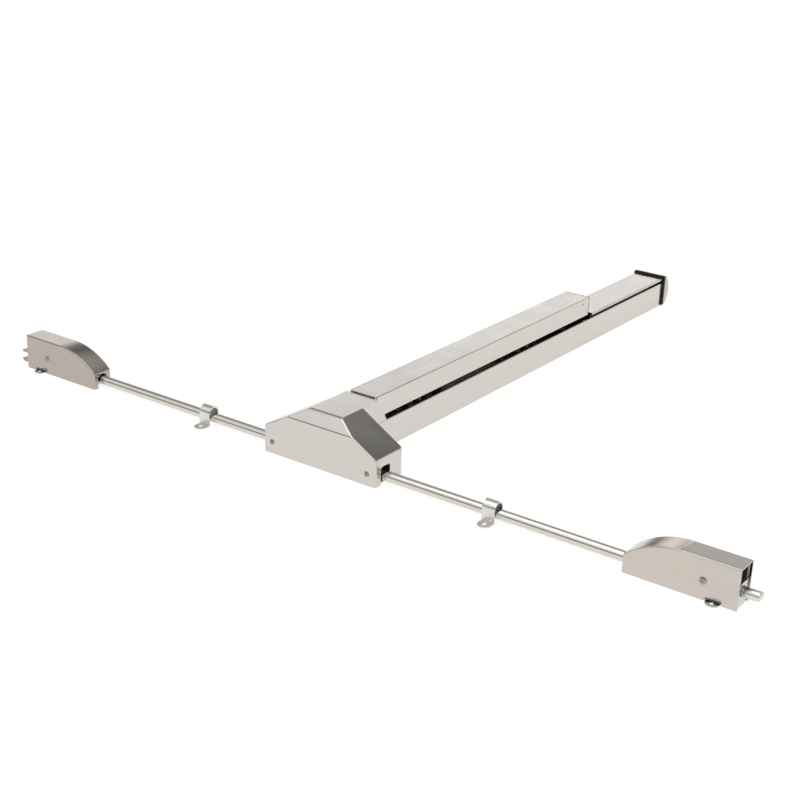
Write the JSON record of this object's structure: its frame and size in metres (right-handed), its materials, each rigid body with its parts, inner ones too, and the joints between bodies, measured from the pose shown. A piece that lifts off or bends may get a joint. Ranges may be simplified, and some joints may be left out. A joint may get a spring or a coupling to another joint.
{
  "type": "panic exit bar",
  "caption": "Surface vertical rod exit device: pressing the bar turns cranks that pull a link, whose rockers draw the rods in and free the top claw and floor bolt.",
  "frame": {"origin": "on the door face, where the line of the rods crosses the centre line of the push bar", "axes": "+X along the push bar away from the head, +Y towards the top latch, +Z away from the door"},
  "size_m": [1.048, 1.298, 0.0845],
  "materials": {
    "brushed_steel": "brushed lengthwise, satin",
    "screw_steel": "turned and passivated",
    "zinc_plate": "clear zinc plate, faintly green",
    "plain_steel": "mill finish, oiled",
    "spring_steel": "drawn wire",
    "brass": "turned",
    "black_plastic": "fine moulded texture"
  },
  "bodies": {
    "door_side": {"head_chassis": "zinc_plate", "head_cover": "brushed_steel", "head_cover_screws": "screw_steel", "rocker_pivot_posts": "plain_steel", "rail": "brushed_steel", "filler_carrier": "black_plastic", "filler_plate": "brushed_steel", "end_bracket": "zinc_plate", "end_gasket": "black_plastic", "end_cap": "brushed_steel", "end_cap_screws": "screw_steel", "base_bracket_near": "plain_steel", "base_bracket_far": "plain_steel", "crank_pivot_pins": "plain_steel", "bar_return_springs": "spring_steel", "rod_guide_top": "zinc_plate", "rod_guide_bottom": "zinc_plate", "top_latch_case": "zinc_plate", "top_latch_cover": "brushed_steel", "top_latch_screws": "screw_steel", "top_latch_spring": "spring_steel", "claw_pivot_pin": "plain_steel", "bottom_latch_case": "zinc_plate", "bottom_latch_cover": "brushed_steel", "bottom_latch_screws": "screw_steel", "bottom_latch_spring": "spring_steel"},
    "push_bar": {"touch_bar": "brushed_steel", "touch_bar_end_plate": "black_plastic", "bar_carriage": "plain_steel", "bar_rivets": "plain_steel"},
    "near_crank": {"bell_crank_near": "plain_steel", "crank_pins_near": "plain_steel", "crank_bush_near": "brass"},
    "far_crank": {"bell_crank_far": "plain_steel", "crank_pins_far": "plain_steel", "crank_bush_far": "brass"},
    "link": {"actuator_link": "plain_steel", "link_yoke": "plain_steel", "link_rivets": "plain_steel"},
    "upper_rocker": {"top_rocker": "plain_steel", "top_rocker_pins": "plain_steel"},
    "lower_rocker": {"bottom_rocker": "plain_steel", "bottom_rocker_pins": "plain_steel"},
    "upper_rod": {"top_rod_slider": "plain_steel", "top_rod_adjuster": "plain_steel", "top_rod_lock_nut": "zinc_plate", "top_rod": "brushed_steel", "top_latch_slide": "plain_steel"},
    "lower_rod": {"bottom_rod_slider": "plain_steel", "bottom_rod_adjuster": "plain_steel", "bottom_rod_lock_nut": "zinc_plate", "bottom_rod": "brushed_steel", "bolt_carrier": "plain_steel", "bottom_bolt": "zinc_plate"},
    "claw": {"latch_claw": "zinc_plate", "claw_link_pin": "plain_steel"}
  },
  "joints": [
    {"name": "bar_press", "type": "slide", "parent": "door_side", "child": "push_bar", "axis": [0, 0, -1], "range_m": [0, 0.014], "stiffness_N_per_m": 2200, "springref_m": -0.012, "deforming": ["bar_return_springs"]},
    {"name": "near_crank_turn", "type": "hinge", "parent": "door_side", "child": "near_crank", "pos_m": [0.241, 0, 0.024], "axis": [0, 1, 0], "range_deg": [0, 30]},
    {"name": "far_crank_turn", "type": "hinge", "parent": "door_side", "child": "far_crank", "pos_m": [0.561, 0, 0.024], "axis": [0, 1, 0], "range_deg": [0, 30]},
    {"name": "link_pull", "type": "slide", "parent": "door_side", "child": "link", "axis": [1, 0, 0], "range_m": [0, 0.012]},
    {"name": "top_rocker_turn", "type": "hinge", "parent": "door_side", "child": "upper_rocker", "pos_m": [0.0315, 0.038, 0.0245], "axis": [0, 0, 1], "range_deg": [0, 36]},
    {"name": "bottom_rocker_turn", "type": "hinge", "parent": "door_side", "child": "lower_rocker", "pos_m": [0.0315, -0.038, 0.0245], "axis": [0, 0, -1], "range_deg": [0, 36]},
    {"name": "top_rod_pull", "type": "slide", "parent": "door_side", "child": "upper_rod", "axis": [0, -1, 0], "range_m": [0, 0.01978], "deforming": ["top_latch_spring"]},
    {"name": "bottom_rod_pull", "type": "slide", "parent": "door_side", "child": "lower_rod", "axis": [0, 1, 0], "range_m": [0, 0.01978], "deforming": ["bottom_latch_spring"]},
    {"name": "claw_turn", "type": "hinge", "parent": "door_side", "child": "claw", "pos_m": [0, 0.596, 0.016], "axis": [1, 0, 0], "range_deg": [0, 48]}
  ],
  "couplings": [
    {"joint": "near_crank_turn", "follows": "bar_press", "rad_per_m": 37.4},
    {"joint": "far_crank_turn", "follows": "bar_press", "rad_per_m": 37.4},
    {"joint": "link_pull", "follows": "bar_press", "ratio": 0.85713},
    {"joint": "top_rocker_turn", "follows": "bar_press", "rad_per_m": 44.879},
    {"joint": "bottom_rocker_turn", "follows": "bar_press", "rad_per_m": 44.879},
    {"joint": "top_rod_pull", "follows": "bar_press", "ratio": 1.4126},
    {"joint": "bottom_rod_pull", "follows": "bar_press", "ratio": 1.4126},
    {"joint": "claw_turn", "follows": "bar_press", "rad_per_m": 59.839}
  ]
}
